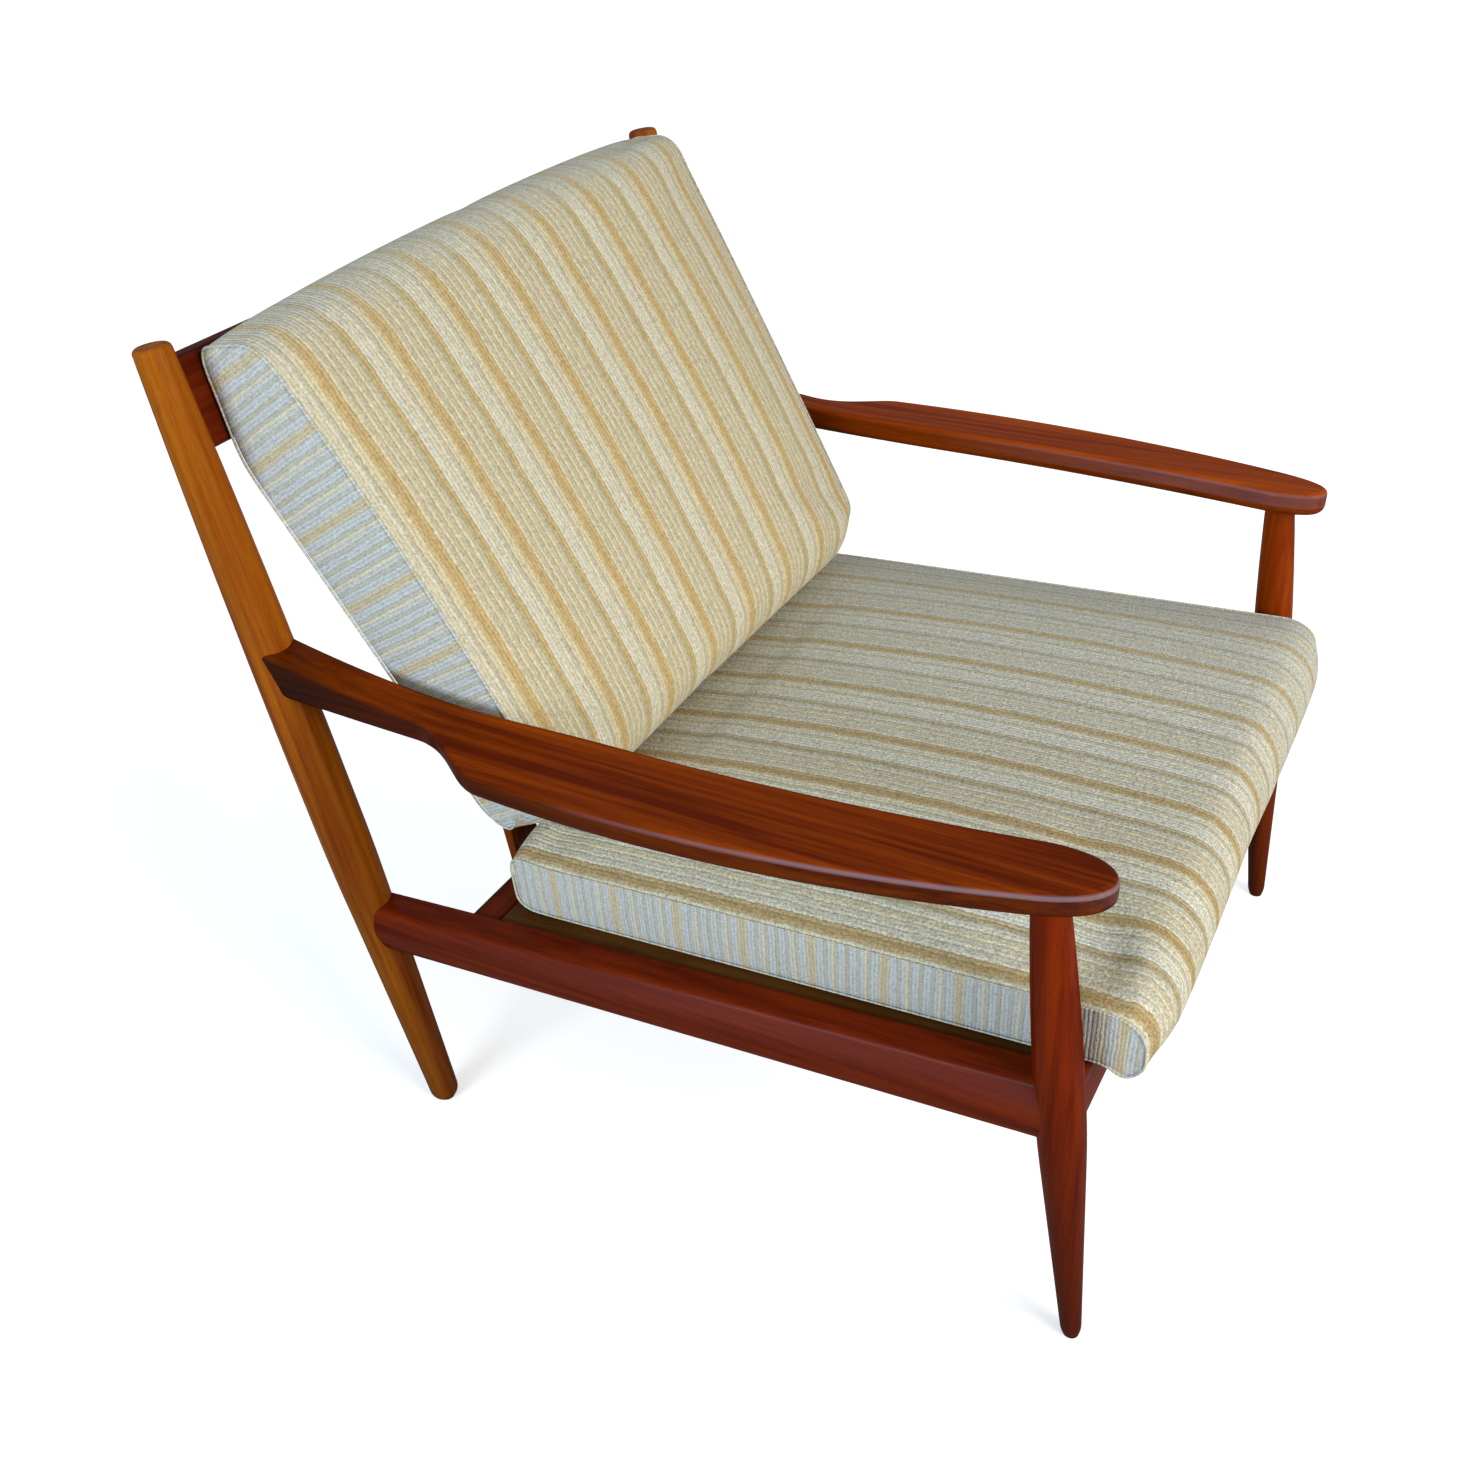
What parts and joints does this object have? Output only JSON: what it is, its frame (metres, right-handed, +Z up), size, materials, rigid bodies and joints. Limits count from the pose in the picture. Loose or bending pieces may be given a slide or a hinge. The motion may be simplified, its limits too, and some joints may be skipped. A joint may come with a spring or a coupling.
{
  "type": "easy chair",
  "caption": "Low wooden easy chair with turned legs, paddle-shaped arms, a slatted reclined back, rubber seat straps and loose striped seat and back cushions.",
  "frame": {"origin": "on the floor under the middle of the chair's bounding box", "axes": "+Z up, the chair faces -Y, +X to the sitter's left"},
  "size_m": [0.7748, 0.783, 0.7566],
  "materials": {
    "frame_wood": "oiled reddish-brown hardwood, satin",
    "slat_wood": "oiled reddish-brown hardwood, satin",
    "block_wood": "plain sawn wood",
    "webbing": "brown rubber webbing, matte",
    "clip_steel": "plain steel",
    "striped_cover": "coarse woven wool in ochre, cream and grey-blue stripes",
    "foam": "foam"
  },
  "bodies": {
    "frame": {"back_slat_1": "slat_wood", "back_slat_2": "slat_wood", "back_slat_3": "slat_wood", "back_slat_4": "slat_wood", "back_slat_5": "slat_wood", "back_slat_6": "slat_wood", "back_slat_7": "slat_wood", "crest_rail": "frame_wood", "front_rail": "frame_wood", "front_strap_clips": "clip_steel", "left_arm": "frame_wood", "left_corner_block": "block_wood", "left_front_leg": "frame_wood", "left_rear_post": "frame_wood", "left_seat_cleat": "block_wood", "left_side_rail": "frame_wood", "rear_seat_rail": "frame_wood", "rear_strap_clips": "clip_steel", "right_arm": "frame_wood", "right_corner_block": "block_wood", "right_front_leg": "frame_wood", "right_rear_post": "frame_wood", "right_seat_cleat": "block_wood", "right_side_rail": "frame_wood", "seat_strap_1": "webbing", "seat_strap_2": "webbing", "seat_strap_3": "webbing", "seat_strap_4": "webbing", "seat_strap_5": "webbing", "seat_strap_6": "webbing", "seat_strap_7": "webbing"},
    "seat_cushion": {"seat_cushion_cover": "striped_cover", "seat_cushion_core": "foam"},
    "back_cushion": {"back_cushion_cover": "striped_cover", "back_cushion_core": "foam"}
  },
  "joints": [
    {"name": "seat_cushion_out", "type": "slide", "parent": "frame", "child": "seat_cushion", "axis": [0, -0.9969, 0.0785], "range_m": [0, 0.62]},
    {"name": "back_cushion_out", "type": "slide", "parent": "frame", "child": "back_cushion", "axis": [0, 0.1167, 0.9932], "range_m": [0, 0.45]}
  ]
}
